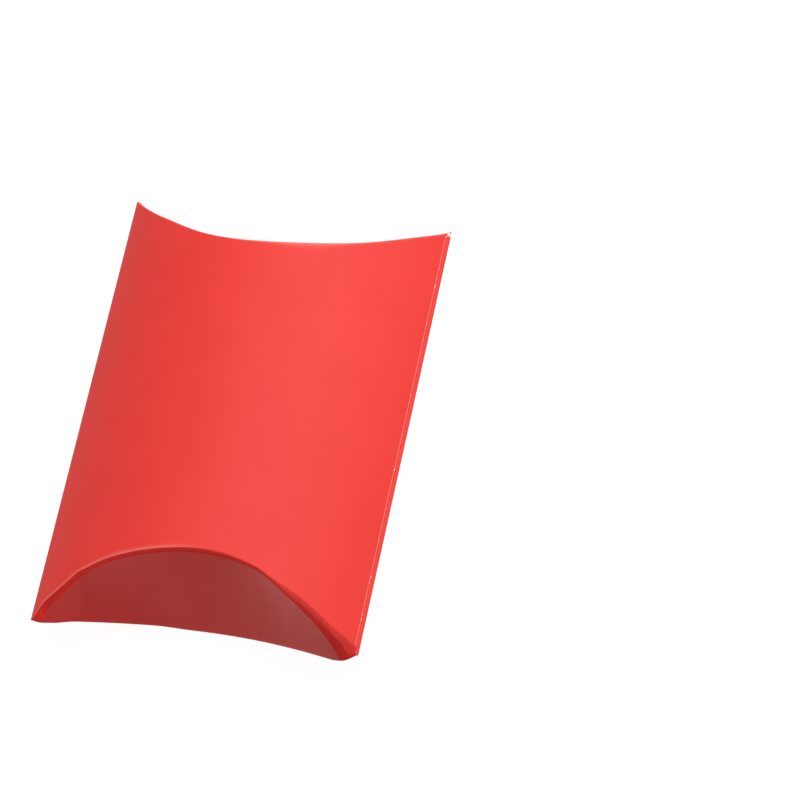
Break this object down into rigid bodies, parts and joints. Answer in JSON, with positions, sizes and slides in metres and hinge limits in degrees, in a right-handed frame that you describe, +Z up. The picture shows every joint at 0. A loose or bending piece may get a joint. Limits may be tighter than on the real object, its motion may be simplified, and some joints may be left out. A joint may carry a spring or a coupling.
{
  "type": "pillow box",
  "caption": "Small red card pillow box: two arched panels with a glued side seam, closed at each end by curved flaps.",
  "frame": {"origin": "under the middle of the box, on the surface that it lies on", "axes": "+Z up through both panels' crowns, front panel on top; +Y along the box from the near end to the far end; +X across it, towards the side with the glued seam"},
  "size_m": [0.065, 0.09, 0.025],
  "materials": {
    "coated_card": "satin",
    "glue": "matte"
  },
  "bodies": {
    "sleeve": {"front_panel": "coated_card", "back_panel": "coated_card", "glue_tab": "coated_card", "seam_glue": "glue"},
    "near_outer_flap": {"near_outer_flap": "coated_card"},
    "near_inner_flap": {"near_inner_flap": "coated_card"},
    "far_outer_flap": {"far_outer_flap": "coated_card"},
    "far_inner_flap": {"far_inner_flap": "coated_card"}
  },
  "joints": [
    {"name": "near_outer_fold", "type": "hinge", "parent": "sleeve", "child": "near_outer_flap", "pos_m": [0, -0.039, 0], "axis": [1, 0, 0], "range_deg": [0, 65]},
    {"name": "near_inner_fold", "type": "hinge", "parent": "sleeve", "child": "near_inner_flap", "pos_m": [0, -0.0325, 0.025], "axis": [1, 0, 0], "range_deg": [0, 15]},
    {"name": "far_outer_fold", "type": "hinge", "parent": "sleeve", "child": "far_outer_flap", "pos_m": [0, 0.039, 0], "axis": [-1, 0, 0], "range_deg": [0, 65]},
    {"name": "far_inner_fold", "type": "hinge", "parent": "sleeve", "child": "far_inner_flap", "pos_m": [0, 0.0325, 0.025], "axis": [-1, 0, 0], "range_deg": [0, 15]}
  ]
}
